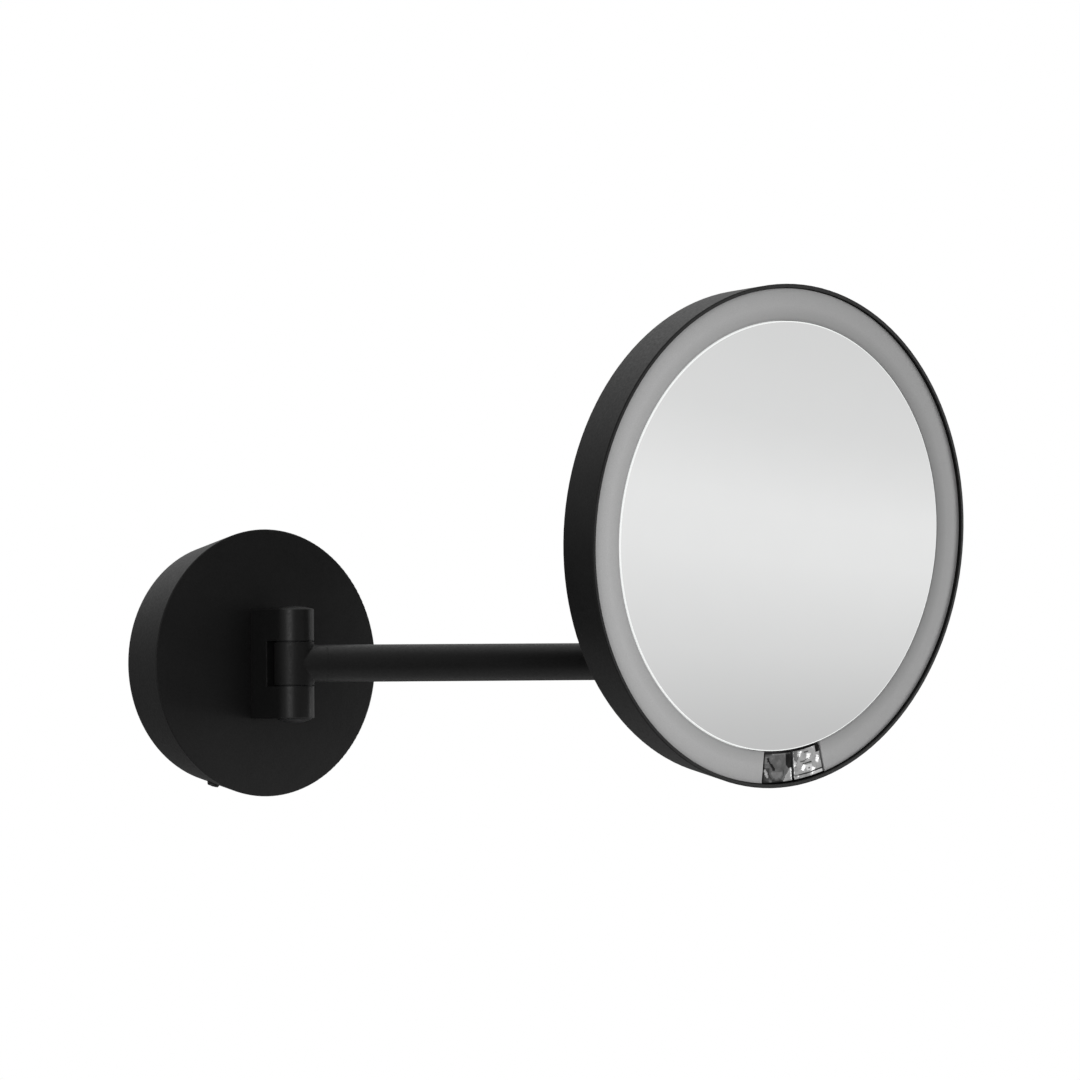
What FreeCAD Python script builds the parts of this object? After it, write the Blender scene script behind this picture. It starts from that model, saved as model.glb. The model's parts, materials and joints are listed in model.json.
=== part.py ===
import FreeCAD, Part
import math
import os

os.makedirs("parts", exist_ok=True)

# ---------------------------------------------------------------------------
# Wall-mounted, lit shaving mirror on a swing-out arm.  Millimetres, +Z up.
# Origin: where the round base's axis meets the wall.  +X runs along the wall,
# +Y goes into the wall, so the object stands out towards -Y.
# ---------------------------------------------------------------------------

V = FreeCAD.Vector

# round wall base
BASE_D = 30.3          # depth from the wall
BASE_R_FRONT = 57.5
BASE_R_BACK = 52.0
COVER_T = 2.2          # side wall
COVER_FRONT_T = 3.0
GASKET_T = 0.8
PLATE_R = 45.5
PLATE_T = 2.5
WALL_PCD = 64.0        # circle of the wall screw holes
WALL_HOLE_R = 2.75
INLET_R = 9.0          # supply inlet in the wall plate
FIX_Y = -16.3          # side fixing screw, distance from the wall
FIX_ANG = 20.0         # degrees from straight down, towards -X

# three-knuckle hinge, used at both ends of the arm
HINGE_GAP = 20.1       # hinge axis in front of the base face
Z0 = -0.5              # height of the arm's centre line
KR = 8.5               # knuckle radius
KH = 9.1               # half height of the middle knuckle
SEAM = 0.6             # washer space between knuckle and ear
EAR_TOP = 23.4         # half height of the fork
PIN_R = 4.0
PIN_BORE = 4.05
EAR_BORE = 4.02
PIN_HOLLOW = 2.4
SLOT_R = KR + 0.35
FILLET = 0.5           # where the arm's stub meets the knuckle

# arm
ARM_R = 8.0
ARM_WALL = 1.5
BETA = math.radians(26.92154)   # arm swung out from the wall plane at rest
ARM_L = 176.2548             # hinge axis to hinge axis
STUB = 13.6                  # knuckle axis to the butt joint with the tube
SPIGOT = 12.0

# mirror head, in its own frame: front rim plane y=0, +Y to the back, +Z up
HEAD_POS = V(159.8, -185.6, 51.95)
HEAD_YAW = 2.735       # degrees about +Z
HEAD_TILT = 4.58       # degrees about the head's +X, face slightly down
HR = 107.5             # outer radius at the front rim
HRB = 104.5            # outer radius at the back
HT = 22.6              # thickness
RIM_IN = 105.9
DIFF_R = 105.6
DIFF_IN = 91.95
DIFF_Y = 1.3
DIFF_T = 3.0
GLASS_R = 91.7
GLASS_Y = 0.6
GLASS_T = 3.0
GLASS_CURVE = 900.0    # radius of the concave reflecting face
SENSOR_ANG = 7.3       # sensor's place on the ring, degrees from straight down
SENSOR_HALF = 10.0     # half of the sector that its window takes, degrees
LED_COUNT = 48

TILT_ARM = 19.0        # swivel axis to tilt axis
FORK_D = 13.0          # swivel axis to the front of the swivel fork's web
TONGUE_HALF = 5.0
LUG_T = 4.6
LUG_R = 5.6

written = []


def save(name, shape):
    solids = shape.Solids
    ok = shape.isValid() and len(solids) > 0
    shape.exportStep("parts/%s.step" % name)
    written.append((name, len(solids), round(shape.Volume, 1), ok))


def cyl(r, p, d, h):
    return Part.makeCylinder(r, h, p, d)


def box(x0, y0, z0, x1, y1, z1):
    return Part.makeBox(x1 - x0, y1 - y0, z1 - z0, V(x0, y0, z0))


def rev_y(pts):
    """Revolve an (r, y) profile about the Y axis."""
    vs = [V(r, y, 0) for r, y in pts]
    w = Part.makePolygon(vs + [vs[0]])
    return Part.Face(w).revolve(V(0, 0, 0), V(0, 1, 0), 360)


def rev_z(pts):
    """Revolve an (r, z) profile about the Z axis."""
    vs = [V(r, 0, z) for r, z in pts]
    w = Part.makePolygon(vs + [vs[0]])
    return Part.Face(w).revolve(V(0, 0, 0), V(0, 0, 1), 360)


def solid_of(shape):
    return shape.Solids[0] if len(shape.Solids) == 1 else shape


def placed(shape, pl):
    s = shape.copy()
    s.Placement = pl.multiply(s.Placement)
    return s


def group(shapes):
    out = []
    for s in shapes:
        out.extend(s.Solids)
    return Part.makeCompound(out)


Y = V(0, 1, 0)
YN = V(0, -1, 0)
Z = V(0, 0, 1)

# ---------------------------------------------------------------------------
# Wall base
# ---------------------------------------------------------------------------
save("gasket_ring", rev_y([(46.6, 0), (51.2, 0), (51.2, -GASKET_T), (46.6, -GASKET_T)]))

# steel plate with an upturned collar that the cover slips over
plate = rev_y([(0, 0), (PLATE_R, 0), (PLATE_R, -11.0), (PLATE_R - 1.8, -11.0),
               (PLATE_R - 1.8, -PLATE_T), (0, -PLATE_T)])
plate = plate.cut(cyl(INLET_R, V(0, 1, 0), YN, 8))
wall_holes = []
for a in (90, 210, 330):
    x = WALL_PCD / 2 * math.cos(math.radians(a))
    z = WALL_PCD / 2 * math.sin(math.radians(a))
    plate = plate.cut(cyl(WALL_HOLE_R, V(x, 1, z), YN, 8))
# clear slots in the collar under the fixing screw and for the driver's feet
fa = math.radians(FIX_ANG)
save("wall_plate", solid_of(plate))

# rubber grommet in the supply inlet
grom = rev_y([(5.0, 0.0), (INLET_R, 0.0), (INLET_R, -PLATE_T), (11.2, -PLATE_T),
              (11.2, -PLATE_T - 1.6), (9.6, -PLATE_T - 2.6), (5.0, -PLATE_T - 2.6)])
save("inlet_grommet", grom)

# tapered cover, open to the wall
slope = (BASE_R_FRONT - BASE_R_BACK) / (BASE_D - GASKET_T)


def cover_r(y):
    return BASE_R_BACK + slope * (-y - GASKET_T)


cov = rev_y([(0, -BASE_D), (BASE_R_FRONT, -BASE_D), (BASE_R_BACK, -GASKET_T),
             (BASE_R_BACK - COVER_T, -GASKET_T),
             (cover_r(-BASE_D + COVER_FRONT_T) - COVER_T, -BASE_D + COVER_FRONT_T),
             (0, -BASE_D + COVER_FRONT_T)])
front_edges = [e for e in cov.Edges
               if abs(e.BoundBox.YMin + BASE_D) < 1e-4 and abs(e.BoundBox.YMax + BASE_D) < 1e-4
               and e.BoundBox.XLength > 100]
cov = cov.makeFillet(0.5, front_edges)
# inner ring boss near the wall that centres the cover on the plate's collar
fdir = V(-math.sin(fa), 0, -math.cos(fa))
r_fix = cover_r(FIX_Y)
boss = cyl(4.2, fdir * (PLATE_R + 0.6) + V(0, FIX_Y, 0), fdir, r_fix - COVER_T / 2 - PLATE_R - 0.6)
cov = cov.fuse(boss)
cov = cov.cut(cyl(1.95, fdir * (PLATE_R - 6) + V(0, FIX_Y, 0), fdir, 30))
cov = cov.cut(cyl(3.3, fdir * (r_fix - 0.6) + V(0, FIX_Y, 0), fdir, 5))   # flat seat for the screw's head
# holes for the fork's screws and its lead
for dz in (-13.5, 13.5):
    cov = cov.cut(cyl(2.2, V(0, -BASE_D - 1, Z0 + dz), Y, 6))
cov = cov.cut(cyl(1.9, V(0, -BASE_D - 1, Z0 + 20.0), Y, 6))
save("base_cover", solid_of(cov.removeSplitter()))

# side fixing screw: slotted domed head outside, shank through the cover's boss
p = fdir * (r_fix - 0.1) + V(0, FIX_Y, 0)
scr = cyl(1.9, fdir * (PLATE_R - 1.0) + V(0, FIX_Y, 0), fdir, r_fix - PLATE_R + 1.2)
head = Part.makeCone(3.0, 2.35, 1.6, fdir * (r_fix - 0.58) + V(0, FIX_Y, 0), fdir)
scr = scr.fuse(head)
sl = Part.makeBox(0.7, 6, 0.6, V(-0.35, -3, 0))
rot = FreeCAD.Rotation(V(0, 0, 1), fdir)
sl.Placement = FreeCAD.Placement(fdir * (r_fix + 0.6) + V(0, FIX_Y, 0), rot)
scr = scr.cut(sl)
save("cover_fixing_screw", solid_of(scr))

# plate collar tab with the tapped hole for the side screw
tab = cyl(4.6, fdir * (PLATE_R - 6.0) + V(0, FIX_Y, 0), fdir, 3.6)
leg_c = fdir * (PLATE_R - 6.0 + 1.8)
leg = Part.makeBox(9.2, FIX_Y * -1 - PLATE_T, 3.6, V(-4.6, FIX_Y, -1.8))
leg.Placement = FreeCAD.Placement(V(leg_c.x, 0, leg_c.z), FreeCAD.Rotation(V(0, 1, 0), -math.degrees(math.atan2(fdir.x, -fdir.z))))
tabs = tab.fuse(leg)
tabs = tabs.cut(cyl(1.93, fdir * (PLATE_R - 9) + V(0, FIX_Y, 0), fdir, 12))
save("fixing_tab", solid_of(tabs.removeSplitter()))

# LED driver in its case, on the plate, with screw terminals beside it
drv = box(-24, -20.5, -31.0, 24, -PLATE_T, -14.5)
drv = drv.makeFillet(1.2, [e for e in drv.Edges if abs(e.BoundBox.YLength - (20.5 - PLATE_T)) < 1e-3])
save("driver_case", solid_of(drv))
lid_pts = box(-22.5, -21.5, -29.5, 22.5, -20.5, -16.0)
save("driver_lid", lid_pts)
tb = box(-17, -15.0, 14.5, 17, -PLATE_T, 27.0)
for x in (-11, 0, 11):
    tb = tb.cut(cyl(2.6, V(x, -15.5, 20.7), Y, 3.0))
    tb = tb.cut(box(x - 3.2, -11.5, 13.0, x + 3.2, -6.5, 18.0))
save("terminal_block", solid_of(tb))
tsc = []
for x in (-11, 0, 11):
    s = cyl(2.4, V(x, -14.2, 20.7), Y, 1.6)
    s = s.cut(box(x - 2.5, -14.3, 20.35, x + 2.5, -13.6, 21.05))
    tsc.append(s)
save("terminal_screws", group(tsc))


def path_tube(pts, bends, r):
    """Round lead along straight runs joined by tangent arcs of radius bends."""
    edges = []
    cur = pts[0]
    for i in range(1, len(pts) - 1):
        a, b, c = pts[i - 1], pts[i], pts[i + 1]
        u = (b - a).normalize()
        w = (c - b).normalize()
        ang = u.getAngle(w)
        t = bends * math.tan(ang / 2)
        p1 = b - u * t
        p2 = b + w * t
        bis = (w - u).normalize()
        cen = b + bis * (bends / math.cos(ang / 2))
        mid = cen - bis * bends
        edges.append(Part.LineSegment(cur, p1).toShape())
        edges.append(Part.Arc(p1, mid, p2).toShape())
        cur = p2
    edges.append(Part.LineSegment(cur, pts[-1]).toShape())
    wire = Part.Wire(edges)
    prof = Part.Wire([Part.Circle(pts[0], (pts[1] - pts[0]).normalize(), r).toShape()])
    return wire.makePipeShell([prof], True, False)


HY = -BASE_D - HINGE_GAP         # hinge axis y

# low-voltage lead from the driver up to the fork and into the hollow pin
lead = path_tube([V(18, -21.6, -22.0), V(18, -24.6, -22.0), V(18, -24.6, 8.0), V(0, -24.6, Z0 + 20.0),
                  V(0, HY + PIN_HOLLOW + 3.0, Z0 + 20.0)], 2.6, 1.3)
save("base_lead", solid_of(lead))


# ---------------------------------------------------------------------------
# Hinge pieces in their own frame: axis on Z, web towards +Y
# ---------------------------------------------------------------------------
def fork_block(depth, z_lo, z_hi):
    f = cyl(KR, V(0, 0, z_lo), Z, z_hi - z_lo).fuse(box(-KR, 0, z_lo, KR, depth, z_hi))
    f = f.removeSplitter()
    slot = cyl(SLOT_R, V(0, 0, -KH - SEAM), Z, 2 * (KH + SEAM))
    slot = slot.fuse(box(-20, -20, -KH - SEAM, 20, 8.4, KH + SEAM))
    f = f.cut(slot)
    f = f.cut(cyl(EAR_BORE, V(0, 0, z_lo - 1), Z, z_hi - z_lo + 2))
    return f


def knuckle(side):
    """Middle knuckle with a short stub towards +X (side 1) or -X (side -1)."""
    d = V(side, 0, 0)
    k = cyl(KR, V(0, 0, -KH), Z, 2 * KH)
    stub = cyl(ARM_R, V(0, 0, 0), d, STUB)
    k = k.fuse(stub)
    seam_edges = []
    for e in k.Edges:
        bb = e.BoundBox
        if bb.ZLength > 12 and abs(bb.ZLength - 2 * ARM_R) < 0.2:
            c = bb.Center
            if 4 < abs(c.x) < 11.5 and bb.XLength > 0.5:
                seam_edges.append(e)
    k = k.makeFillet(FILLET, seam_edges)
    k = k.fuse(cyl(ARM_R - ARM_WALL - 0.03, V(0, 0, 0) + d * (STUB - 1), d, SPIGOT + 1))
    k = k.cut(cyl(PIN_BORE, V(0, 0, -KH - 1), Z, 2 * KH + 2))
    k = k.cut(cyl(2.0, V(0, 0, 0), d, STUB + SPIGOT + 2))
    return k.removeSplitter()


def hinge_pin(lo, hi, slots):
    p = cyl(PIN_R, V(0, 0, lo), Z, hi - lo).cut(cyl(PIN_HOLLOW, V(0, 0, lo + 2), Z, hi - lo - 4))
    for s in slots:
        p = p.cut(s)
    return p


def washer_pair():
    out = []
    for s in (1, -1):
        z = KH + 0.05 if s > 0 else -KH - SEAM
        out.append(cyl(KR - 0.9, V(0, 0, z), Z, SEAM - 0.05).cut(cyl(PIN_R + 0.3, V(0, 0, z - 1), Z, 3)))
    return group(out)


def dome(r, z0, z1, z2):
    """Round plug from z0: a short straight wall to z1, then a shallow ball-shaped crown up to z2."""
    h = abs(z2 - z1)
    ball = (r * r + h * h) / (2.0 * h)
    up = 1.0 if z2 > z0 else -1.0
    body = cyl(r, V(0, 0, min(z0, z2)), Z, abs(z2 - z0))
    return body.common(Part.makeSphere(ball, V(0, 0, z2 - up * ball)))


def cap_top():
    """Low domed cap, pressed into the fork's upper end."""
    return dome(7.7, EAR_TOP, EAR_TOP + 0.12, EAR_TOP + 1.15)


def cap_bottom():
    """Rounded end nut under the fork."""
    return dome(7.3, -EAR_TOP, -EAR_TOP - 0.35, -EAR_TOP - 2.0)


# wall side
PL_HINGE = FreeCAD.Placement(V(0, HY, Z0), FreeCAD.Rotation())
fork = fork_block(HINGE_GAP, -EAR_TOP, EAR_TOP)
for dz in (-13.5, 13.5):
    fork = fork.cut(cyl(1.95, V(0, HINGE_GAP + 1, dz), YN, 9.0))
fork = fork.cut(cyl(1.7, V(0, HINGE_GAP + 1, 20.0), YN, HINGE_GAP + 1))
ch = [e for e in fork.Edges if abs(abs(e.BoundBox.ZMin) - EAR_TOP) < 1e-4 and e.BoundBox.ZLength < 1e-4
      and e.BoundBox.XLength > 15]
fork = fork.makeChamfer(0.35, [e for e in fork.Edges if e.BoundBox.ZLength < 1e-4
                              and abs(abs(e.BoundBox.ZMin) - EAR_TOP) < 1e-4
                              and abs(e.BoundBox.XLength - 2 * KR) < 0.05 and e.BoundBox.YMin < -5])
save("wall_fork", placed(solid_of(fork), PL_HINGE))
scs = []
for dz in (-13.5, 13.5):
    s = cyl(1.93, V(0, HY + HINGE_GAP - 7.85, Z0 + dz), Y, COVER_FRONT_T + 7.85)
    s = s.fuse(cyl(3.6, V(0, -BASE_D + COVER_FRONT_T, Z0 + dz), Y, 2.4))
    s = s.cut(cyl(1.5, V(0, -BASE_D + COVER_FRONT_T + 1.0, Z0 + dz), Y, 3))
    scs.append(s)
save("fork_screws", group(scs))
window_base = cyl(1.7, V(0, 0, 20.0), Y, 6)
window_arm = cyl(2.2, V(0, 0, 0), V(math.cos(BETA), -math.sin(BETA), 0), 6)
arc_win = box(-6, -6, -1.9, 6, 1.0, 1.9)
save("wall_pin", placed(hinge_pin(-EAR_TOP, EAR_TOP, [window_base, arc_win]), PL_HINGE))
save("wall_hinge_washers", placed(washer_pair(), PL_HINGE))
save("wall_cap_top", placed(cap_top(), PL_HINGE))
save("wall_cap_bottom", placed(cap_bottom(), PL_HINGE))

# ---------------------------------------------------------------------------
# Arm: knuckle, tube, knuckle, built along +X and swung to its rest angle
# ---------------------------------------------------------------------------
PL_ARM = FreeCAD.Placement(V(0, HY, Z0), FreeCAD.Rotation(Z, -math.degrees(BETA)))
save("arm_knuckle_wall", placed(solid_of(knuckle(1)), PL_ARM))
tube = cyl(ARM_R, V(STUB, 0, 0), V(1, 0, 0), ARM_L - 2 * STUB)
tube = tube.cut(cyl(ARM_R - ARM_WALL, V(STUB - 1, 0, 0), V(1, 0, 0), ARM_L - 2 * STUB + 2))
save("arm_tube", placed(solid_of(tube), PL_ARM))
pl_end = PL_ARM.multiply(FreeCAD.Placement(V(ARM_L, 0, 0), FreeCAD.Rotation()))
save("arm_knuckle_head", placed(solid_of(knuckle(-1)), pl_end))
save("arm_lead", placed(cyl(1.6, V(PIN_BORE + 0.6, 0, 0), V(1, 0, 0), ARM_L - 2 * PIN_BORE - 1.2), PL_ARM))

# ---------------------------------------------------------------------------
# Swivel fork at the arm's end, its web towards the head
# ---------------------------------------------------------------------------
S = pl_end.multVec(V(0, 0, 0))
PL_SW = FreeCAD.Placement(S, FreeCAD.Rotation(Z, 180.0 + HEAD_YAW))
sw = fork_block(FORK_D, -EAR_TOP, EAR_TOP)
# bevels that let the head tilt
for s in (1, -1):
    w = Part.Face(Part.makePolygon([V(-12, FORK_D - 7.5, s * (EAR_TOP + 0.1)), V(-12, FORK_D + 0.1, s * (EAR_TOP + 0.1)),
                                    V(-12, FORK_D + 0.1, s * (EAR_TOP - 7.5)), V(-12, FORK_D - 7.5, s * (EAR_TOP + 0.1))]))
    sw = sw.cut(w.extrude(V(24, 0, 0)))
tongue = cyl(LUG_R, V(-TONGUE_HALF, TILT_ARM, 0), V(1, 0, 0), 2 * TONGUE_HALF)
tongue = tongue.fuse(box(-TONGUE_HALF, FORK_D - 0.5, -LUG_R, TONGUE_HALF, TILT_ARM, LUG_R))
sw = sw.fuse(tongue).removeSplitter()
sw = sw.cut(cyl(2.55, V(-20, TILT_ARM, 0), V(1, 0, 0), 40))
save("swivel_fork", placed(solid_of(sw), PL_SW))
save("swivel_pin", placed(hinge_pin(-EAR_TOP, EAR_TOP, [box(-6, -6, -1.9, 6, 1.0, 1.9)]), PL_SW))
save("swivel_washers", placed(washer_pair(), PL_SW))
save("swivel_cap_top", placed(cap_top(), PL_SW))
save("swivel_cap_bottom", placed(cap_bottom(), PL_SW))

# ---------------------------------------------------------------------------
# Head
# ---------------------------------------------------------------------------
PL_HEAD = FreeCAD.Placement(HEAD_POS, FreeCAD.Rotation(Z, HEAD_YAW).multiply(FreeCAD.Rotation(V(1, 0, 0), HEAD_TILT)))
PL_INV = PL_HEAD.inverse()

# tilt axis in the head's frame
TP = PL_INV.multVec(PL_SW.multVec(V(0, TILT_ARM, 0)))
TX, TY, TZ = TP.x, TP.y, TP.z


def head_save(name, shape):
    save(name, placed(solid_of(shape), PL_HEAD))


wall_slope = (HR - HRB) / HT


def head_r(y):
    return HR - wall_slope * y


# turned outer ring with the front lip and the diffuser's seat
ring = rev_y([(RIM_IN, 0.0), (HR - 0.35, 0.0), (HR, 0.35), (HRB + 0.06, HT - 0.4), (HRB - 0.34, HT),
              (102.2, HT), (102.2, 4.45), (RIM_IN, 4.45)])
# bosses for the back panel's screws
SCREW_ANG = (45, 135, 225, 315)
for a in SCREW_ANG:
    c = math.cos(math.radians(a)) * 98.6
    s = math.sin(math.radians(a)) * 98.6
    arm_b = Part.makeBox(5.2, HT - 14.9, 7.0, V(98.6, 12.9, -3.5))
    arm_b.Placement = FreeCAD.Placement(V(0, 0, 0), FreeCAD.Rotation(V(0, 1, 0), -a))
    bb = cyl(4.0, V(c, 12.9, s), Y, HT - 14.9).fuse(arm_b)
    ring = ring.fuse(bb)
for a in SCREW_ANG:
    c = math.cos(math.radians(a)) * 98.6
    s = math.sin(math.radians(a)) * 98.6
    ring = ring.cut(cyl(1.25, V(c, 12.0, s), Y, 10))
head_save("head_ring", ring.removeSplitter())

# back panel
back = cyl(101.9, V(0, HT - 1.9, 0), Y, 1.9)
for a in SCREW_ANG:
    c = math.cos(math.radians(a)) * 98.6
    s = math.sin(math.radians(a)) * 98.6
    back = back.cut(cyl(1.55, V(c, 17, s), Y, 8))
BR_SC = [(-13.0, 9.0), (13.0, 9.0), (-13.0, -9.0), (13.0, -9.0)]
for dx, dz in BR_SC:
    back = back.cut(cyl(1.9, V(TX + dx, 17, TZ + dz), Y, 8))
back = back.cut(cyl(2.2, V(TX, 17, TZ + 12.0), Y, 8))
head_save("head_back", back)
scs = []
for a in SCREW_ANG:
    c = math.cos(math.radians(a)) * 98.6
    s = math.sin(math.radians(a)) * 98.6
    q = cyl(1.22, V(c, 13.4, s), Y, HT - 13.4 + 0.1)
    hd = Part.makeCone(2.9, 2.2, 1.3, V(c, HT + 0.02, s), Y)
    q = q.fuse(hd)
    q = q.cut(box(c - 1.5, HT + 0.7, s - 0.25, c + 1.5, HT + 2, s + 0.25))
    q = q.cut(box(c - 0.25, HT + 0.7, s - 1.5, c + 0.25, HT + 2, s + 1.5))
    scs.append(q)
save("back_screws", placed(group(scs), PL_HEAD))

# tilt bracket: oval foot plate on the back panel with two lugs
foot = box(TX - 10.5, HT, TZ - 14.5, TX + 10.5, HT + 2.0, TZ + 14.5)
foot = foot.fuse(box(TX - 17.5, HT, TZ - 9.0, TX + 17.5, HT + 2.0, TZ + 9.0))
for dx in (-10.5, 10.5):
    for dz in (-9.0, 9.0):
        foot = foot.fuse(cyl(5.0, V(TX + dx * 1.19, HT, TZ + dz), Y, 2.0))
foot = foot.removeSplitter()
lugs = []
for s in (1, -1):
    x0 = TX + (TONGUE_HALF + 0.6 if s > 0 else -TONGUE_HALF - 0.6 - LUG_T)
    lg = cyl(LUG_R, V(x0, TY, TZ), V(1, 0, 0), LUG_T).fuse(box(x0, HT + 0.5, TZ - LUG_R, x0 + LUG_T, TY, TZ + LUG_R))
    foot = foot.fuse(lg)
foot = foot.removeSplitter()
foot = foot.cut(cyl(2.52, V(TX - 30, TY, TZ), V(1, 0, 0), 60))
for dx, dz in BR_SC:
    foot = foot.cut(cyl(1.7, V(TX + dx, HT - 1, TZ + dz), Y, 4))
foot = foot.cut(cyl(2.2, V(TX, HT - 1, TZ + 12.0), Y, 4))
head_save("tilt_bracket", foot)
scs = []
for dx, dz in BR_SC:
    q = cyl(1.65, V(TX + dx, 17.5, TZ + dz), Y, HT + 2.0 - 17.5)
    q = q.fuse(Part.makeCone(2.9, 2.3, 1.2, V(TX + dx, HT + 2.0, TZ + dz), Y))
    q = q.cut(cyl(1.1, V(TX + dx, HT + 2.6, TZ + dz), Y, 3))
    scs.append(q)
save("bracket_screws", placed(group(scs), PL_HEAD))
nuts = []
for dx, dz in BR_SC:
    pts = [V(TX + dx + 3.1 * math.cos(math.radians(60 * i)), HT - 4.5, TZ + dz + 3.1 * math.sin(math.radians(60 * i))) for i in range(6)]
    n = Part.Face(Part.makePolygon(pts + [pts[0]])).extrude(V(0, 2.4, 0))
    nuts.append(n.cut(cyl(1.68, V(TX + dx, 14, TZ + dz), Y, 9)))
save("bracket_nuts", placed(group(nuts), PL_HEAD))

# tilt screw with its cap nut and spring washers
xo = TONGUE_HALF + 0.6 + LUG_T
ts = cyl(2.48, V(TX - xo - 0.3, TY, TZ), V(1, 0, 0), 2 * xo + 2.08)
ts = ts.fuse(Part.makeCone(3.6, 4.6, 2.2, V(TX - xo - 2.25, TY, TZ), V(1, 0, 0)))
ts = ts.cut(cyl(1.7, V(TX - xo - 3, TY, TZ), V(1, 0, 0), 2.0))
head_save("tilt_screw", ts)
pts = [V(TX + xo + 0.03, TY + 4.6 * math.cos(math.radians(60 * i)), TZ + 4.6 * math.sin(math.radians(60 * i))) for i in range(6)]
tn = Part.Face(Part.makePolygon(pts + [pts[0]])).extrude(V(3.2, 0, 0))
tn = tn.cut(cyl(2.5, V(TX + xo - 1, TY, TZ), V(1, 0, 0), 2.9))
head_save("tilt_nut", tn)
tw = []
for s in (1, -1):
    x0 = TX + (TONGUE_HALF + 0.05 if s > 0 else -TONGUE_HALF - 0.58)
    tw.append(cyl(5.0, V(x0, TY, TZ), V(1, 0, 0), 0.53).cut(cyl(2.5, V(x0 - 1, TY, TZ), V(1, 0, 0), 3)))
save("tilt_washers", placed(group(tw), PL_HEAD))

# sensor window: a sector of the light ring, a little to the right of its lowest point
def wedge(a0, a1, y0, y1):
    """Sector about the head's axis; angles in degrees from straight down, towards +X."""
    r = 118.0
    pts = [V(0, y0, 0)]
    for a in (a0, (a0 + a1) / 2.0, a1):
        t = math.radians(a + SENSOR_ANG)
        k = r / math.cos(math.radians((a1 - a0) / 2.0)) if a == (a0 + a1) / 2.0 else r
        pts.append(V(k * math.sin(t), y0, -k * math.cos(t)))
    return Part.Face(Part.makePolygon(pts + [pts[0]])).extrude(V(0, y1 - y0, 0))


PL_SENS = PL_HEAD.multiply(FreeCAD.Placement(V(0, 0, 0), FreeCAD.Rotation(V(0, 1, 0), -SENSOR_ANG)))
ledge = wedge(-SENSOR_HALF - 1.2, SENSOR_HALF + 1.2, -1, 30)

# frosted light ring
diff = rev_y([(DIFF_IN, DIFF_Y), (DIFF_R, DIFF_Y), (DIFF_R, DIFF_Y + DIFF_T), (DIFF_IN, DIFF_Y + DIFF_T)])
diff = diff.cut(wedge(-SENSOR_HALF - 0.12, SENSOR_HALF + 0.12, -1, 30))
head_save("diffuser_ring", diff)

# concave mirror glass with its bevelled edge
cy = GLASS_Y + 0.35 - math.sqrt(GLASS_CURVE ** 2 - (GLASS_R - 1.3) ** 2)
Rb_ = GLASS_CURVE + GLASS_T


def on_sphere(r, rad):
    return cy + math.sqrt(rad ** 2 - r ** 2)


gr = GLASS_R - 1.3
e1 = Part.Arc(V(0, on_sphere(0, GLASS_CURVE), 0), V(gr / 2, on_sphere(gr / 2, GLASS_CURVE), 0),
              V(gr, on_sphere(gr, GLASS_CURVE), 0)).toShape()
e2 = Part.LineSegment(V(gr, on_sphere(gr, GLASS_CURVE), 0), V(GLASS_R, GLASS_Y + 1.0, 0)).toShape()
e3 = Part.LineSegment(V(GLASS_R, GLASS_Y + 1.0, 0), V(GLASS_R, on_sphere(GLASS_R, Rb_), 0)).toShape()
e4 = Part.Arc(V(GLASS_R, on_sphere(GLASS_R, Rb_), 0), V(gr / 2, on_sphere(gr / 2, Rb_), 0),
              V(0, on_sphere(0, Rb_), 0)).toShape()
e5 = Part.LineSegment(V(0, on_sphere(0, Rb_), 0), V(0, on_sphere(0, GLASS_CURVE), 0)).toShape()
glass = Part.Face(Part.Wire([e1, e2, e3, e4, e5])).revolve(V(0, 0, 0), V(0, 1, 0), 360)
head_save("mirror_glass", glass)

# moulded tray that carries glass, light ring and boards
tray = rev_y([(0, 11.0), (87.0, 11.0), (87.0, 4.6), (91.0, 4.6), (91.0, 9.6), (101.6, 9.6), (101.6, 11.2),
              (90.0, 11.2), (90.0, 12.6), (0, 12.6)])
tray = tray.cut(ledge.cut(cyl(91.5, V(0, -2, 0), Y, 40)))
tray = tray.cut(cyl(4.0, V(0, 9, -40), Y, 6))
head_save("mirror_tray", tray)

# foam pad between glass and tray
pad = rev_y([(58.0, 3.0), (83.0, 3.0), (83.0, 10.98), (58.0, 10.98)])
pad = pad.cut(Part.makeSphere(Rb_ + 0.02, V(0, cy, 0)))
head_save("mirror_pad", pad)

# ring-shaped LED board with its LEDs
pcb = rev_y([(92.6, 8.4), (101.4, 8.4), (101.4, 9.58), (92.6, 9.58)])
pcb = pcb.cut(ledge)
head_save("led_board", pcb)
leds = []
for i in range(LED_COUNT):
    a = 2 * math.pi * (i + 0.5) / LED_COUNT
    x, z = 97.0 * math.sin(a), -97.0 * math.cos(a)
    off = math.degrees(a) - SENSOR_ANG
    off = (off + 180.0) % 360.0 - 180.0
    if abs(off) < SENSOR_HALF + 3.2:
        continue
    ld = Part.makeBox(2.8, 0.8, 3.5, V(-1.4, 7.6, -1.75))
    ld.Placement = FreeCAD.Placement(V(x, 0, z), FreeCAD.Rotation(V(0, 1, 0), -math.degrees(a)))
    leds.append(ld)
save("led_chips", placed(group(leds), PL_HEAD))
refl = rev_y([(101.7, 4.6), (102.1, 4.6), (102.1, 9.5), (101.7, 9.5)])
refl = refl.cut(ledge)
head_save("reflector_band", refl)

# sensor module in that sector
def sens_save(name, shape):
    save(name, placed(solid_of(shape), PL_SENS))


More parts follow.
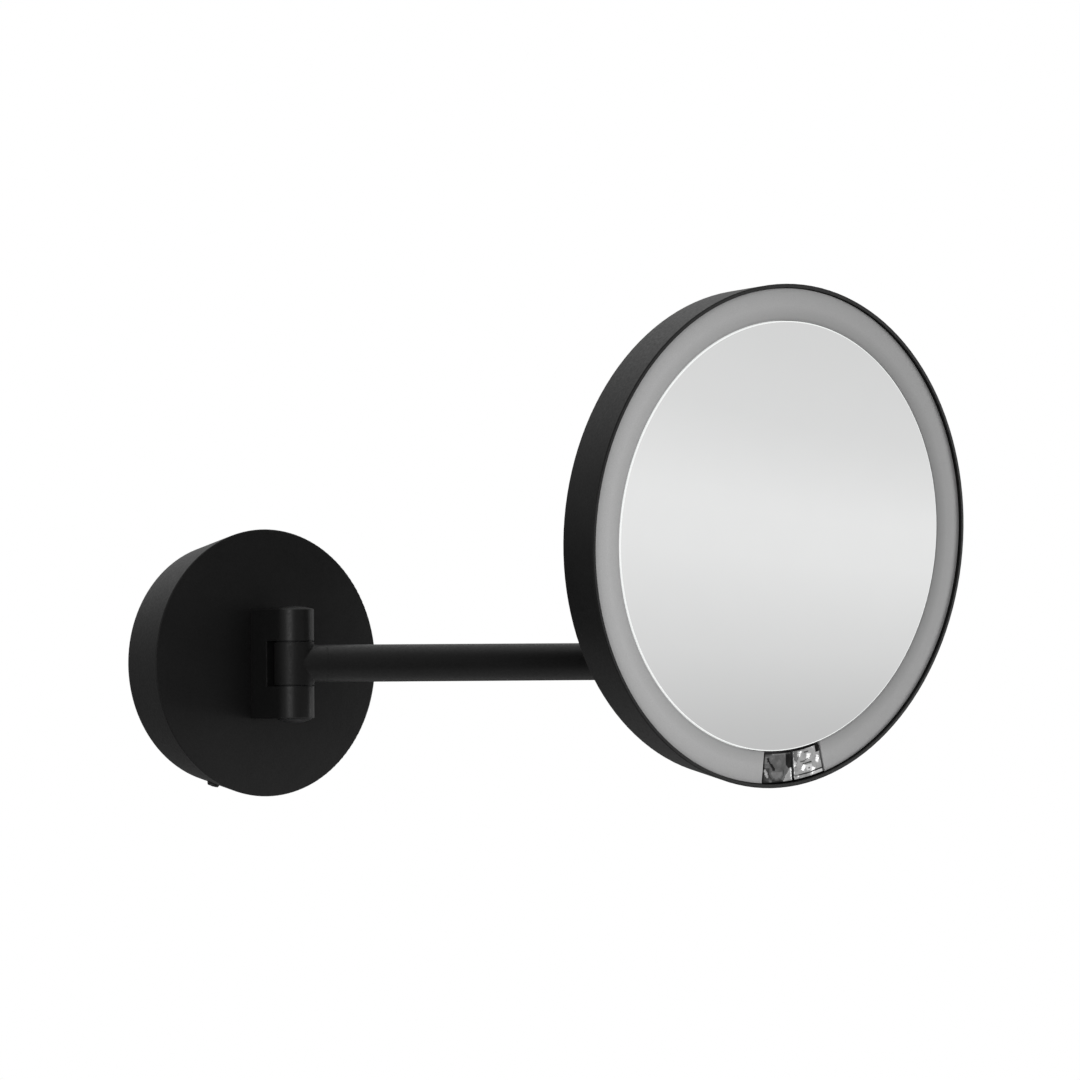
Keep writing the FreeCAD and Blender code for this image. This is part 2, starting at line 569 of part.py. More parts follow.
def sector(profile, a0, a1):
    """Part of a revolved profile between two angles, in the sensor's own frame."""
    t0, t1 = math.radians(a0), math.radians(a1)
    r = 118.0
    pts = [V(0, -1, 0), V(r * math.sin(t0), -1, -r * math.cos(t0)),
           V(1.05 * r * math.sin((t0 + t1) / 2), -1, -1.05 * r * math.cos((t0 + t1) / 2)),
           V(r * math.sin(t1), -1, -r * math.cos(t1))]
    w = Part.Face(Part.makePolygon(pts + [pts[0]])).extrude(V(0, 31, 0))
    return rev_y(profile).common(w)


H0 = SENSOR_HALF
holder = sector([(92.1, 3.2), (104.4, 3.2), (104.4, 4.3), (101.9, 4.3), (101.9, 11.0), (92.1, 11.0)], -H0, H0)
pocket = [(93.1, 3.1), (103.6, 3.1), (103.6, 4.2), (101.0, 4.2), (101.0, 9.4), (93.1, 9.4)]
holder = holder.cut(sector(pocket, -H0 + 0.5, -0.3)).cut(sector(pocket, 0.3, H0 - 0.5))
sens_save("sensor_holder", holder)
win = sector([(92.4, DIFF_Y), (DIFF_R, DIFF_Y), (DIFF_R, 3.18), (92.4, 3.18)], -H0, H0)
# the divider runs up into the window
win = win.cut(box(-0.45, 0, -110, 0.45, 2.9, -80))
sens_save("sensor_window", win)
sens_save("sensor_divider", box(-0.42, DIFF_Y + 0.1, -104.3, 0.42, 2.88, -92.6))
save("sensor_boards", placed(group([box(-14.0, 8.6, -99.4, -1.5, 9.38, -94.6), box(1.5, 8.6, -99.4, 14.0, 9.38, -94.6)]), PL_SENS))
rc = box(-12.2, 6.6, -99.3, -4.4, 8.58, -94.7)
rc = rc.makeFillet(1.1, [e for e in rc.Edges if abs(e.BoundBox.YLength - 1.98) < 1e-3])
dome = Part.makeSphere(3.1, V(-8.3, 6.6 + 0.6, -97.0)).common(box(-12.2, 0, -102, -4.4, 6.61, -92))
sens_save("sensor_receiver", rc.fuse(dome))
em = box(5.8, 7.0, -99.2, 10.2, 8.58, -94.8)
em = em.fuse(cyl(1.5, V(8.0, 5.6, -97.0), Y, 1.5))
sens_save("sensor_emitter", em.removeSplitter())

# control board behind the tray
cb = box(-30, 13.4, -46, 30, 15.0, -8)
head_save("control_board", cb)
cps = [box(-24, 15.0, -22, -16, 17.6, -14),
       box(-8, 15.0, -30, 6, 16.6, -20), box(14, 15.0, -24, 24, 17.9, -14), box(-24, 15.0, -40, -14, 17.2, -32),
       box(12, 15.0, -42, 20, 16.4, -34)]
save("board_parts", placed(group(cps), PL_HEAD))
stand = []
for x in (-27, 27):
    for z in (-43, -11):
        stand.append(cyl(2.0, V(x, 12.6, z), Y, 0.8))
save("board_spacers", placed(group(stand), PL_HEAD))
hl = cyl(1.5, V(TX, 15.1, TZ + 12.0), Y, HT + 2.4 - 15.1)
head_save("head_lead", hl)

for n in written:
    print(n)
print("nodes", len(written))
print("swivel axis", S, "tilt axis", PL_SW.multVec(V(0, TILT_ARM, 0)), "TP", TP)
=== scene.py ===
import bpy, bmesh, math, json
from mathutils import Vector, Matrix


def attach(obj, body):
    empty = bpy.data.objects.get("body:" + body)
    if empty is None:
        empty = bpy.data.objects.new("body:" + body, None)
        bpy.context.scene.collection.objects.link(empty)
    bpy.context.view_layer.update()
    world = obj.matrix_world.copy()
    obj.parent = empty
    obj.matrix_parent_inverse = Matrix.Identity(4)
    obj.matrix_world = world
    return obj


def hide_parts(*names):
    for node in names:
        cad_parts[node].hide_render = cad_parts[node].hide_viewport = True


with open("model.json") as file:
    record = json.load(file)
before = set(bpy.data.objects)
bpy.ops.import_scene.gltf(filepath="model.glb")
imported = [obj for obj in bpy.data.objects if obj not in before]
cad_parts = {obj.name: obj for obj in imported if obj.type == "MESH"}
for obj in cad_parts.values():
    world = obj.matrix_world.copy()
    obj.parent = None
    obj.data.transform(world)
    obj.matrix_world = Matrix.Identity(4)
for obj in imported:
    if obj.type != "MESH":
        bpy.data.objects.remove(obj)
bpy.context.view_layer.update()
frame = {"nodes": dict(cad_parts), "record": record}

nodes = frame["nodes"]
scene = bpy.context.scene
scene.view_settings.view_transform = "Standard"
scene.view_settings.look = "None"
scene.view_settings.exposure = 0.0
scene.view_settings.gamma = 1.0

# ---------------------------------------------------------------- frames
MM = 0.001
HEAD = (Matrix.Translation(Vector((159.8, -185.6, 51.95)) * MM)
        @ Matrix.Rotation(math.radians(2.735), 4, "Z")
        @ Matrix.Rotation(math.radians(4.58), 4, "X"))
SENSOR_ANG = 7.3
SENS = HEAD @ Matrix.Rotation(math.radians(-SENSOR_ANG), 4, "Y")
BASE = Matrix.Identity(4)


# ---------------------------------------------------------------- node helpers
class Tree:
    def __init__(self, name):
        self.mat = bpy.data.materials.new(name)
        self.mat.use_nodes = True
        self.nt = self.mat.node_tree
        self.nt.nodes.clear()
        self.out = self.nt.nodes.new("ShaderNodeOutputMaterial")
        self.bsdf = self.nt.nodes.new("ShaderNodeBsdfPrincipled")
        self.nt.links.new(self.bsdf.outputs[0], self.out.inputs["Surface"])
        self.coord = self.nt.nodes.new("ShaderNodeTexCoord")

    def n(self, kind, **kw):
        node = self.nt.nodes.new(kind)
        for k, v in kw.items():
            setattr(node, k, v)
        return node

    def link(self, a, b):
        self.nt.links.new(a, b)

    def set(self, **kw):
        for k, v in kw.items():
            self.bsdf.inputs[k.replace("_", " ")].default_value = v

    def noise(self, scale, detail=3.0, rough=0.55, vec=None, dist=0.0):
        t = self.n("ShaderNodeTexNoise")
        t.inputs["Scale"].default_value = scale
        t.inputs["Detail"].default_value = detail
        t.inputs["Roughness"].default_value = rough
        t.inputs["Distortion"].default_value = dist
        self.link(vec if vec is not None else self.coord.outputs["Object"], t.inputs["Vector"])
        return t.outputs["Fac"]

    def rng(self, value, f0, f1, t0, t1, smooth=False):
        m = self.n("ShaderNodeMapRange")
        if smooth:
            m.interpolation_type = "SMOOTHSTEP"
        m.inputs["From Min"].default_value = f0
        m.inputs["From Max"].default_value = f1
        m.inputs["To Min"].default_value = t0
        m.inputs["To Max"].default_value = t1
        self.link(value, m.inputs["Value"])
        return m.outputs["Result"]

    def math(self, op, a, b=None, clamp=False):
        m = self.n("ShaderNodeMath", operation=op, use_clamp=clamp)
        for i, v in enumerate((a, b)):
            if v is None:
                continue
            if isinstance(v, (int, float)):
                m.inputs[i].default_value = v
            else:
                self.link(v, m.inputs[i])
        return m.outputs[0]

    def mix(self, fac, a, b):
        m = self.n("ShaderNodeMix", data_type="RGBA")
        if isinstance(fac, (int, float)):
            m.inputs[0].default_value = fac
        else:
            self.link(fac, m.inputs[0])
        for i, v in ((6, a), (7, b)):
            if isinstance(v, tuple):
                m.inputs[i].default_value = v
            else:
                self.link(v, m.inputs[i])
        return m.outputs[2]

    def ramp(self, value, stops):
        r = self.n("ShaderNodeValToRGB")
        el = r.color_ramp.elements
        while len(el) < len(stops):
            el.new(0.5)
        for e, (p, c) in zip(el, stops):
            e.position = p
            e.color = c if len(c) == 4 else (*c, 1.0)
        self.link(value, r.inputs[0])
        return r.outputs[0]

    def bump(self, height, strength, distance, normal=None):
        b = self.n("ShaderNodeBump")
        b.inputs["Strength"].default_value = strength
        b.inputs["Distance"].default_value = distance
        self.link(height, b.inputs["Height"])
        if normal is not None:
            self.link(normal, b.inputs["Normal"])
        return b.outputs[0]

    def bevel(self, radius, samples=4):
        b = self.n("ShaderNodeBevel")
        b.samples = samples
        b.inputs["Radius"].default_value = radius
        return b.outputs[0]

    def local(self, matrix):
        """Coordinates in another frame, in metres."""
        inv = matrix.inverted()
        loc, rot, _ = inv.decompose()
        m = self.n("ShaderNodeMapping", vector_type="POINT")
        m.inputs["Location"].default_value = loc
        m.inputs["Rotation"].default_value = rot.to_euler("XYZ")
        self.link(self.coord.outputs["Object"], m.inputs["Vector"])
        return m.outputs[0]

    def xyz(self, vec):
        s = self.n("ShaderNodeSeparateXYZ")
        self.link(vec, s.inputs[0])
        return s.outputs


def grey(v, a=1.0):
    return (v, v, v, a)


# ---------------------------------------------------------------- materials
def powder_coat(name, low, high, r0, r1, grain=1.0, spec=0.3, bevel=0.00035):
    """Satin black powder coat: fine orange-peel grain with a slight cloudiness."""
    t = Tree(name)
    t.set(Metallic=0.0)
    t.bsdf.inputs["Specular IOR Level"].default_value = spec
    t.bsdf.inputs["IOR"].default_value = 1.5
    speck = t.noise(1250.0, 3.0, 0.7)
    cloud = t.noise(38.0, 4.0, 0.5)
    mixv = t.math("ADD", t.math("MULTIPLY", speck, 0.65), t.math("MULTIPLY", cloud, 0.35))
    t.link(t.ramp(mixv, [(0.32, grey(low)), (0.68, grey(high))]), t.bsdf.inputs["Base Color"])
    t.link(t.rng(t.noise(900.0, 2.0, 0.5), 0.3, 0.7, r0, r1), t.bsdf.inputs["Roughness"])
    peel = t.noise(1500.0, 2.0, 0.5)
    wave = t.noise(160.0, 2.0, 0.5)
    n0 = t.bevel(bevel)
    n1 = t.bump(wave, 0.10 * grain, 0.0006, n0)
    t.link(t.bump(peel, 0.32 * grain, 0.00012, n1), t.bsdf.inputs["Normal"])
    return t.mat


def metal(name, color, r0, r1, scale=(60.0, 60.0, 900.0), tint=0.12):
    t = Tree(name)
    t.set(Metallic=1.0)
    m = t.n("ShaderNodeMapping")
    m.inputs["Scale"].default_value = scale
    t.link(t.coord.outputs["Object"], m.inputs["Vector"])
    streak = t.noise(6.0, 4.0, 0.6, vec=m.outputs[0])
    dark = tuple(c * (1.0 - tint) for c in color) + (1.0,)
    t.link(t.mix(streak, dark, color + (1.0,)), t.bsdf.inputs["Base Color"])
    t.link(t.rng(streak, 0.2, 0.8, r0, r1), t.bsdf.inputs["Roughness"])
    t.link(t.bump(streak, 0.12, 0.0001, t.bevel(0.0002)), t.bsdf.inputs["Normal"])
    return t.mat


def plastic(name, low, high, r0, r1, spec=0.4, scale=1400.0, bumpy=0.2, bevel=0.0002, trans=None):
    t = Tree(name)
    t.bsdf.inputs["Specular IOR Level"].default_value = spec
    n = t.noise(scale, 3.0, 0.55)
    t.link(t.mix(t.rng(n, 0.3, 0.7, 0.0, 1.0), low, high), t.bsdf.inputs["Base Color"])
    t.link(t.rng(t.noise(scale * 0.3, 2.0), 0.3, 0.7, r0, r1), t.bsdf.inputs["Roughness"])
    t.link(t.bump(n, bumpy, 0.0001, t.bevel(bevel)), t.bsdf.inputs["Normal"])
    return t.mat


M_BLACK = powder_coat("powder_black", 0.0040, 0.0095, 0.42, 0.54, spec=0.22)
M_BRACKET = powder_coat("powder_black_hinge", 0.0040, 0.0095, 0.36, 0.46, grain=0.9, spec=0.26)
M_BLACKPL = plastic("black_nylon", (0.005, 0.005, 0.0055, 1), (0.010, 0.010, 0.011, 1), 0.42, 0.55, spec=0.2)
M_WHITEPL = plastic("white_abs", (0.78, 0.78, 0.76, 1), (0.86, 0.86, 0.85, 1), 0.42, 0.55)
M_RUBBER = plastic("black_rubber", (0.012, 0.012, 0.012, 1), (0.028, 0.028, 0.028, 1), 0.7, 0.85, spec=0.25)
M_FOAM = plastic("grey_foam", (0.05, 0.05, 0.052, 1), (0.11, 0.11, 0.112, 1), 0.85, 0.95, spec=0.2, scale=700.0, bumpy=0.8)
M_WIRE = plastic("pvc_lead", (0.62, 0.62, 0.61, 1), (0.74, 0.74, 0.73, 1), 0.38, 0.5)
M_CHIP = plastic("epoxy_body", (0.012, 0.012, 0.014, 1), (0.03, 0.03, 0.033, 1), 0.3, 0.42)
M_LED = plastic("led_phosphor", (0.78, 0.62, 0.20, 1), (0.92, 0.80, 0.42, 1), 0.25, 0.4)
M_PCBW = plastic("white_mask", (0.80, 0.81, 0.79, 1), (0.87, 0.88, 0.86, 1), 0.3, 0.4)
M_PCBG = plastic("green_mask", (0.02, 0.13, 0.05, 1), (0.05, 0.22, 0.09, 1), 0.28, 0.4)
M_STEEL = metal("zinc_steel", (0.60, 0.60, 0.62), 0.28, 0.42)
M_BRASS = metal("plain_brass", (0.75, 0.56, 0.27), 0.25, 0.4)


def diffuser_mat():
    """Frosted acrylic, milky; painted shade makes it a little darker next to the glass, and a painted light gradient
    makes it lighter on the left and darker on the right.
    """
    t = Tree("frosted_acrylic")
    t.bsdf.inputs["Specular IOR Level"].default_value = 0.35
    t.bsdf.inputs["Subsurface Weight"].default_value = 0.25
    t.bsdf.inputs["Subsurface Radius"].default_value = (0.6, 0.6, 0.6)
    t.bsdf.inputs["Subsurface Scale"].default_value = 0.002
    x, y, z = t.xyz(t.local(HEAD))
    r = t.math("SQRT", t.math("ADD", t.math("MULTIPLY", x, x), t.math("MULTIPLY", z, z)))
    # painted shade: the ring darkens towards the glass edge
    painted_glass_shade = t.ramp(t.rng(r, 0.0918, 0.1057, 0.0, 1.0), [(0.0, grey(0.40)), (0.10, grey(0.56)), (0.45, grey(0.71)), (1.0, grey(0.71))])
    # painted light: lighter on the left, darker on the right, by position across the head
    painted_side_light = t.ramp(t.rng(x, -0.105, 0.105, 0.0, 1.0), [(0.0, grey(0.95)), (0.5, grey(0.76)), (1.0, grey(0.56))])
    mult = t.n("ShaderNodeMix", data_type="RGBA", blend_type="MULTIPLY")
    mult.inputs[0].default_value = 1.0
    t.link(painted_glass_shade, mult.inputs[6])
    t.link(painted_side_light, mult.inputs[7])
    n = t.noise(2200.0, 2.0, 0.6)
    t.link(t.mix(t.rng(n, 0.3, 0.7, 0.0, 0.14), mult.outputs[2], grey(0.16)), t.bsdf.inputs["Base Color"])
    t.link(t.rng(n, 0.3, 0.7, 0.42, 0.52), t.bsdf.inputs["Roughness"])
    t.link(t.bump(n, 0.25, 0.00006), t.bsdf.inputs["Normal"])
    return t.mat


def mirror_mat():
    t = Tree("silvered_glass")
    t.set(Metallic=1.0)
    n = t.noise(55.0, 3.0, 0.5)
    t.link(t.mix(n, (0.925, 0.93, 0.928, 1), (0.94, 0.945, 0.943, 1)), t.bsdf.inputs["Base Color"])
    t.link(t.rng(n, 0.3, 0.7, 0.010, 0.020), t.bsdf.inputs["Roughness"])
    return t.mat


def glass_edge_mat():
    """Finely ground bevel of the glass: a pale line given by a faint emission glow, a painted highlight."""
    t = Tree("glass_edge_painted_glow")
    t.bsdf.inputs["Specular IOR Level"].default_value = 0.6
    n = t.noise(1800.0, 2.0, 0.6)
    t.link(t.mix(n, (0.90, 0.92, 0.915, 1), (0.97, 0.98, 0.975, 1)), t.bsdf.inputs["Base Color"])
    t.link(t.rng(n, 0.3, 0.7, 0.22, 0.32), t.bsdf.inputs["Roughness"])
    # painted highlight: emission makes the bevel glow as a pale bright line
    t.bsdf.inputs["Emission Color"].default_value = (0.96, 0.98, 0.97, 1)
    t.bsdf.inputs["Emission Strength"].default_value = 0.42
    return t.mat


def clear_mat():
    t = Tree("clear_acrylic")
    t.bsdf.inputs["Transmission Weight"].default_value = 1.0
    t.bsdf.inputs["IOR"].default_value = 1.49
    n = t.noise(240.0, 2.0, 0.5)
    t.link(t.mix(n, (0.93, 0.94, 0.95, 1), (0.97, 0.975, 0.98, 1)), t.bsdf.inputs["Base Color"])
    t.link(t.rng(n, 0.3, 0.7, 0.02, 0.05), t.bsdf.inputs["Roughness"])
    t.link(t.bump(n, 0.18, 0.0002), t.bsdf.inputs["Normal"])
    return t.mat


M_DIFF = diffuser_mat()
M_MIRROR = mirror_mat()
M_EDGE = glass_edge_mat()
M_CLEAR = clear_mat()

SLOT_MAT = {
    "black_metal": M_BLACK, "dark_bracket": M_BRACKET, "steel": M_STEEL, "brass": M_BRASS,
    "rubber": M_RUBBER, "foam": M_FOAM, "black_plastic": M_BLACKPL, "white_plastic": M_WHITEPL,
    "diffuser": M_DIFF, "mirror": M_MIRROR, "clear": M_CLEAR, "pcb_white": M_PCBW,
    "pcb_green": M_PCBG, "led": M_LED, "chip": M_CHIP, "sensor_lens": M_CHIP, "wire": M_WIRE,
}
slot_of = {s["node"]: s["material_slot"] for s in frame["record"]["subparts"]}
for name, ob in nodes.items():
    m = SLOT_MAT[slot_of[name]]
    if not ob.material_slots:
        ob.data.materials.append(m)
    for s in ob.material_slots:
        s.material = M_BLACK if name.startswith("arm_knuckle") else m


# ---------------------------------------------------------------- mesh helpers
def rounded(pts, steps=5):
    """Closed (r, y, radius) profile to points, with each corner rounded by its radius."""
    out = []
    n = len(pts)
    for i in range(n):
        a, b, c = Vector(pts[i - 1][:2]), Vector(pts[i][:2]), Vector(pts[(i + 1) % n][:2])
        rad = pts[i][2] if len(pts[i]) > 2 else 0.0
        if rad <= 0:
            out.append((b.x, b.y))
            continue
        u, v = (a - b).normalized(), (c - b).normalized()
        ang = u.angle(v)
        d = min(rad / math.tan(ang / 2), (a - b).length * 0.48, (c - b).length * 0.48)
        rr = d * math.tan(ang / 2)
        cen = b + (u + v).normalized() * (rr / math.sin(ang / 2))
        p0, p1 = b + u * d - cen, b + v * d - cen
        full = p0.angle(p1)
        sign = 1.0 if p0.x * p1.y - p0.y * p1.x > 0 else -1.0
        for k in range(steps + 1):
            t = sign * full * k / steps
            q = Vector((p0.x * math.cos(t) - p0.y * math.sin(t), p0.x * math.sin(t) + p0.y * math.cos(t)))
            out.append((cen.x + q.x, cen.y + q.y))
    return out


def finish_mesh(name, bm, matrix, mat, body, smooth=35.0):
    bmesh.ops.remove_doubles(bm, verts=bm.verts, dist=1e-7)
    bmesh.ops.recalc_face_normals(bm, faces=bm.faces)
    me = bpy.data.meshes.new(name)
    bm.to_mesh(me)
    bm.free()
    me.transform(matrix)
    ob = bpy.data.objects.new(name, me)
    scene.collection.objects.link(ob)
    mats = mat if isinstance(mat, (list, tuple)) else [mat]
    for m in mats:
        me.materials.append(m)
    for p in me.polygons:
        p.use_smooth = True
    me.set_sharp_from_angle(angle=math.radians(smooth))
    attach(ob, body)
    return ob


def lathe(bm, prof, seg=256, a0=0.0, a1=360.0, mat_of=None, closed=True):
    """Revolve (r, y) millimetre points about the Y axis; a full turn or a capped sector."""
    full = abs(a1 - a0 - 360.0) < 1e-6
    cols = []
    count = seg if full else seg + 1
    for i in range(count):
        a = math.radians(a0 + (a1 - a0) * i / seg)
        col = []
        for r, y in prof:
            col.append(bm.verts.new((r * math.sin(a) * MM, y * MM, -r * math.cos(a) * MM)))
        cols.append(col)
    n = len(prof)
    last = n if closed else n - 1
    for i in range(seg):
        c0, c1 = cols[i], cols[(i + 1) % count]
        for j in range(last):
            k = (j + 1) % n
            quad = [c0[j], c0[k], c1[k], c1[j]]
            if prof[j][0] < 1e-6 and prof[k][0] < 1e-6:
                continue
            f = bm.faces.new(quad)
            if mat_of:
                f.material_index = mat_of(prof[j], prof[k])
    if not full:
        bm.faces.new(cols[0])
        bm.faces.new(list(reversed(cols[-1])))
    return bm


# ---------------------------------------------------------------- mirror glass
GR, GY, GC, GT = 91.7, 0.6, 900.0, 3.0
gr = GR - 0.48
cy = GY + 0.35 - math.sqrt(GC ** 2 - gr ** 2)
sph = lambda r, rad: cy + math.sqrt(rad ** 2 - r ** 2)
front = [(gr * i / 40.0, sph(gr * i / 40.0, GC)) for i in range(41)]
prof = front + [(GR - 0.06, GY + 0.58), (GR, GY + 0.70), (GR, sph(GR, GC + GT))]
prof += [(GR * (1 - i / 12.0), sph(GR * (1 - i / 12.0), GC + GT)) for i in range(1, 13)]
bm = bmesh.new()


def glass_face(a, b):
    return 0 if max(a[0], b[0]) <= gr + 1e-6 and a[1] <= sph(a[0], GC) + 1e-3 and b[1] <= sph(b[0], GC) + 1e-3 else 1


lathe(bm, prof, seg=288, mat_of=glass_face)
glass = finish_mesh("mirror_glass_polished", bm, HEAD, [M_MIRROR, M_EDGE], "mirror_head", smooth=12.0)
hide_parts("mirror_glass")

# ---------------------------------------------------------------- frosted ring
H0 = 10.0
prof = rounded([(91.95, 1.3, 0.25), (105.6, 1.3, 0.25), (105.6, 4.3, 0.2), (91.95, 4.3, 0.2)], 4)
bm = bmesh.new()
lathe(bm, prof, seg=280, a0=SENSOR_ANG + H0 + 0.12, a1=360.0 + SENSOR_ANG - H0 - 0.12)
ring = finish_mesh("diffuser_ring_frosted", bm, HEAD, M_DIFF, "mirror_head")
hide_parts("diffuser_ring")

# ---------------------------------------------------------------- sensor window
def resin(name, low, high, r0, r1, spec=0.5, metallic=0.0):
    """Glossy moulded resin with slight flow marks."""
    t = Tree(name)
    t.bsdf.inputs["Specular IOR Level"].default_value = spec
    t.set(Metallic=metallic)
    flow = t.noise(420.0, 3.0, 0.6, dist=0.6)
    t.link(t.mix(t.rng(flow, 0.3, 0.7, 0.0, 1.0), grey(low), grey(high)), t.bsdf.inputs["Base Color"])
    t.link(t.rng(t.noise(900.0, 2.0), 0.3, 0.7, r0, r1), t.bsdf.inputs["Roughness"])
    t.link(t.bump(flow, 0.35, 0.00018), t.bsdf.inputs["Normal"])
    return t.mat


SENSOR_MATS = [
    resin("sensor_black_frame_and_shade", 0.002, 0.006, 0.45, 0.55, spec=0.08),
    resin("sensor_smoked_dark", 0.022, 0.045, 0.30, 0.40, spec=0.2),
    resin("sensor_smoked_grey", 0.085, 0.135, 0.18, 0.28, spec=0.4),
    # silver faces: reflector tone with painted sheen; white faces: painted glints
    resin("sensor_silver_with_painted_sheen", 0.42, 0.58, 0.12, 0.22, metallic=0.15),
    resin("sensor_white_painted_glint", 0.85, 0.95, 0.10, 0.20),
    resin("sensor_smoked_mid", 0.16, 0.24, 0.12, 0.22),
]
BLK, DRK, GRY, SLV, WHT, MID = range(6)


def left_tone(a, b):
    """Receiver side: smoked grey block with a rounded dome and dark cheek; black faces in the corner beside the
    divider are painted shade, and the clear corner prism is painted silver as a painted reflection.
    """
    if b < 0.045:
        return MID if 0.25 < a < 0.80 else DRK
    # painted shade: black faces in the corner beside the divider
    if a > 0.80 and b < 0.56 and a > 0.80 + max(0.0, b - 0.45) * 0.9:
        return BLK
    if b > 0.44 and a > 1.02 - (b - 0.40) * 0.56:
        return SLV
    arc = 0.23 - 0.13 * math.cos((b - 0.12) * 6.5)
    if 0.14 < b < 0.62 and abs(a - arc) < 0.045:
        return BLK
    if a < arc and 0.08 < b < 0.36:
        return MID
    if a < 0.17 and 0.55 < b < 0.86 and abs((a - 0.02) - (b - 0.55) * 0.45) < 0.05:
        return SLV
    if a < 0.20 and b > 0.50:
        return DRK
    dome = ((a - 0.46) / 0.27) ** 2 + ((b - 0.66) / 0.30) ** 2
    if b > 0.955:
        return MID if a < 0.30 else DRK
    if b > 0.60 and 0.86 < dome < 1.15:
        return DRK
    if b > 0.66 and dome < 0.55:
        return MID
    return GRY


def right_tone(a, b):
    """Emitter side: clear faceted block with a small square emitter; its silver faces are a reflector tone with
    painted sheen, and its white faces are painted glints.
    """
    if a > 0.86 and b < 0.25 - (a - 0.86) * 0.2:
        return BLK
    if 0.87 < b < 0.925:
        return DRK if a > 0.18 else MID
    if b >= 0.925:
        return WHT if a > 0.55 else SLV
    if 0.47 < a < 0.66 and 0.62 < b < 0.82:
        return MID if (0.52 < a < 0.61 and 0.68 < b < 0.77) else WHT
    if 0.32 < a < 0.66 and 0.505 < b < 0.555:
        return DRK
    if 0.28 < a < 0.56 and abs(b - (0.44 - (a - 0.28) * 0.25)) < 0.025:
        return GRY
    if (a - 0.55) ** 2 + (b - 0.24) ** 2 < 0.0035:
        return WHT
    if 0.44 < a < 0.60 and abs(b - 0.14) < 0.03:
        return GRY
    if a < 0.30 - b * 0.35 and b < 0.48:
        return MID
    if a < 0.10 and 0.55 < b < 0.62:
        return GRY
    return SLV


def fold(t):
    return abs(t - math.floor(t) - 0.5)


def lens_block(bm, t0, t1, r0, r1, tone, amp, nu=30, nv=20):
    """Closed block on a ring sector: faceted front, straight sides, flat back."""
    def point(a, b, y):
        t = math.radians(t0 + (t1 - t0) * a)
        r = r0 + (r1 - r0) * b
        return bm.verts.new((r * math.sin(t) * MM, y * MM, -r * math.cos(t) * MM))
    front, back = [], []
    for i in range(nu + 1):
        fr, bk = [], []
        for j in range(nv + 1):
            a, b = i / nu, j / nv
            edge = min(a, 1 - a, b, 1 - b)
            y = 1.42 + amp * (0.9 * fold(a * 2.3 + b * 1.4) + 0.8 * fold(b * 2.1 - a * 1.2 + 0.3))
            y = max(1.33, y if edge > 1e-6 else 1.60)
            fr.append(point(a, b, y))
            bk.append(point(a, b, 2.95))
        front.append(fr)
        back.append(bk)
    for i in range(nu):
        for j in range(nv):
            f = bm.faces.new([front[i][j], front[i][j + 1], front[i + 1][j + 1], front[i + 1][j]])
            f.material_index = tone((i + 0.5) / nu, (j + 0.5) / nv)
            bm.faces.new([back[i][j], back[i + 1][j], back[i + 1][j + 1], back[i][j + 1]])
    for i in range(nu):
        for row in (0, nv):
            bm.faces.new([front[i][row], front[i + 1][row], back[i + 1][row], back[i][row]])
    for j in range(nv):
        for col in (0, nu):
            bm.faces.new([front[col][j], front[col][j + 1], back[col][j + 1], back[col][j]])


bm = bmesh.new()
lens_block(bm, -H0 + 0.45, -0.42, 92.95, 105.1, left_tone, 0.22)
lens_block(bm, 0.42, H0 - 0.45, 92.95, 105.1, right_tone, 0.75)
window = finish_mesh("sensor_window_moulded", bm, SENS, SENSOR_MATS, "mirror_head", smooth=9.0)
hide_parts("sensor_window")

# ---------------------------------------------------------------- stage
bm = bmesh.new()
bmesh.ops.create_circle(bm, cap_ends=True, segments=96, radius=0.48)
me = bpy.data.meshes.new("floor")
bm.to_mesh(me)
bm.free()
floor = bpy.data.objects.new("floor", me)
floor.location = (0.08, -0.10, -0.42)
scene.collection.objects.link(floor)
tf = Tree("pale_floor")
nf = tf.noise(30.0, 3.0)
tf.link(tf.mix(nf, grey(0.80), grey(0.84)), tf.bsdf.inputs["Base Color"])
tf.set(Roughness=0.9)
me.materials.append(tf.mat)

# ---------------------------------------------------------------- world: soft studio tent
world = bpy.data.worlds.new("studio")
scene.world = world
world.use_nodes = True
wt = world.node_tree
wt.nodes.clear()


def wn(kind, **kw):
    n = wt.nodes.new(kind)
    for k, v in kw.items():
        setattr(n, k, v)
    return n


def wmath(op, a, b=None, clamp=False):
    m = wn("ShaderNodeMath", operation=op, use_clamp=clamp)
    for i, v in enumerate((a, b)):
        if v is None:
            continue
        if isinstance(v, (int, float)):
            m.inputs[i].default_value = v
        else:
            wt.links.new(v, m.inputs[i])
    return m.outputs[0]


def wrng(value, f0, f1, t0=0.0, t1=1.0):
    m = wn("ShaderNodeMapRange", interpolation_type="SMOOTHSTEP")
    for k, v in (("From Min", f0), ("From Max", f1), ("To Min", t0), ("To Max", t1)):
        m.inputs[k].default_value = v
    wt.links.new(value, m.inputs["Value"])
    return m.outputs["Result"]


def band(value, lo, hi, soft):
    """1 between lo and hi, falling to 0 over soft on each side."""
    return wmath("MULTIPLY", wrng(value, lo - soft, lo), wrng(value, hi, hi + soft, 1.0, 0.0))


tc = wn("ShaderNodeTexCoord")
sep = wn("ShaderNodeSeparateXYZ")
wt.links.new(tc.outputs["Generated"], sep.inputs[0])
wx, wy, wz = sep.outputs
az = wmath("MULTIPLY", wmath("ARCTAN2", wx, wmath("MULTIPLY", wy, -1.0)), 180.0 / math.pi)

AMB, PANA, PANB, BACKV = 0.28, 0.36, 1.0, 1.0


